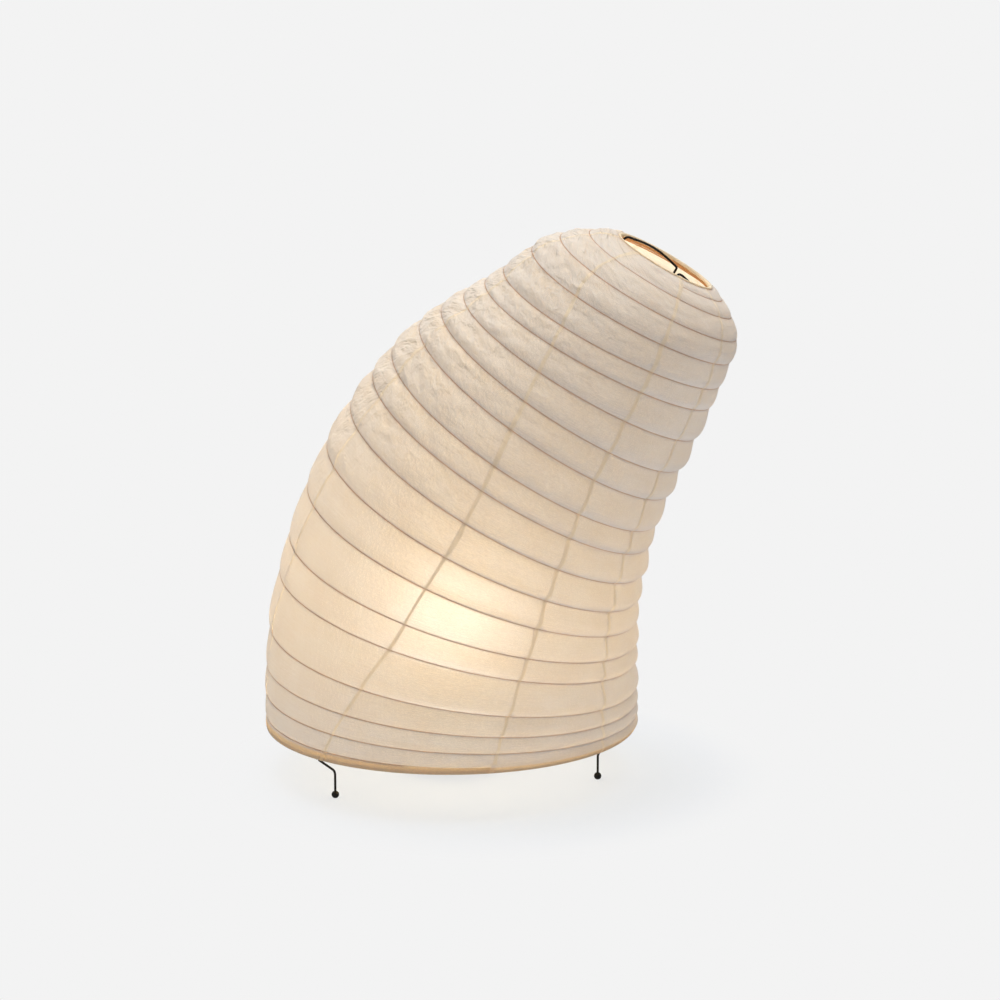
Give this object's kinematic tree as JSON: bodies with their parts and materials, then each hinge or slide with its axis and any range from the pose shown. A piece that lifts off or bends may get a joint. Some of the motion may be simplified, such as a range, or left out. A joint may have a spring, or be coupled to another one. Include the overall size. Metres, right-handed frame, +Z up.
{
  "type": "paper table lamp",
  "caption": "Leaning paper table lamp: tapering washi shade on a spiral bamboo rib, lifting off a legged wire stand with a harp, lampholder and screw-in bulb.",
  "frame": {"origin": "on the floor, under the middle of the whole lamp's box", "axes": "+Z up, +X the way the shade leans, +Y to the rear"},
  "size_m": [0.3677, 0.2932, 0.4278],
  "materials": {
    "washi_paper": "matte, fibrous",
    "hem_paper": "matte",
    "bamboo": "split, unvarnished",
    "black_wire": "satin black",
    "foot_rubber": "matte",
    "holder_black": "moulded",
    "porcelain": "glazed",
    "brass": "rolled",
    "zinc_steel": "zinc plated",
    "bushing_nylon": "moulded",
    "frosted_glass": "frosted",
    "cap_metal": "pressed thread",
    "cap_insulator": "glassy",
    "tip_solder": "solder",
    "stem_glass": "clear",
    "filament_metal": "drawn"
  },
  "bodies": {
    "stand": {"centre_contact": "brass", "cord_inlet_bushing": "bushing_nylon", "foot_left": "foot_rubber", "foot_rear": "foot_rubber", "foot_right": "foot_rubber", "harp_socket_left": "black_wire", "harp_socket_right": "black_wire", "harp_wire": "black_wire", "holder_cap": "holder_black", "holder_insulator": "porcelain", "holder_shell": "holder_black", "hub_plate": "black_wire", "leg_left": "black_wire", "leg_rear": "black_wire", "leg_right": "black_wire", "lock_washer": "zinc_steel", "nipple_nut": "zinc_steel", "screw_sleeve": "brass", "spoke_left": "black_wire", "spoke_rear": "black_wire", "spoke_right": "black_wire", "terminal_screws": "brass", "threaded_nipple": "zinc_steel"},
    "shade": {"bamboo_rib": "bamboo", "bottom_hem": "hem_paper", "bottom_ring": "bamboo", "paper_gore_1": "washi_paper", "paper_gore_2": "washi_paper", "paper_gore_3": "washi_paper", "paper_gore_4": "washi_paper", "paper_gore_5": "washi_paper", "paper_gore_6": "washi_paper", "paper_gore_7": "washi_paper", "paper_gore_8": "washi_paper", "top_hem": "hem_paper", "top_ring": "bamboo"},
    "bulb_seat": {"bulb_tip": "tip_solder"},
    "bulb": {"bulb_cap": "cap_metal", "bulb_filament": "filament_metal", "bulb_globe": "frosted_glass", "bulb_insulator": "cap_insulator", "bulb_stem": "stem_glass"}
  },
  "joints": [
    {"name": "shade_lift", "type": "slide", "parent": "stand", "child": "shade", "axis": [0.4226, 0, 0.9063], "range_m": [0, 0.46]},
    {"name": "bulb_rise", "type": "slide", "parent": "stand", "child": "bulb_seat", "axis": [0, 0, 1], "range_m": [0, 0.0182]},
    {"name": "bulb_turn", "type": "hinge", "parent": "bulb_seat", "child": "bulb", "pos_m": [-0.03735, 0, 0.09], "axis": [0, 0, 1], "range_deg": [0, 1800]}
  ],
  "couplings": [
    {"joint": "bulb_rise", "follows": "bulb_turn", "m_per_rad": 0.00057757}
  ]
}
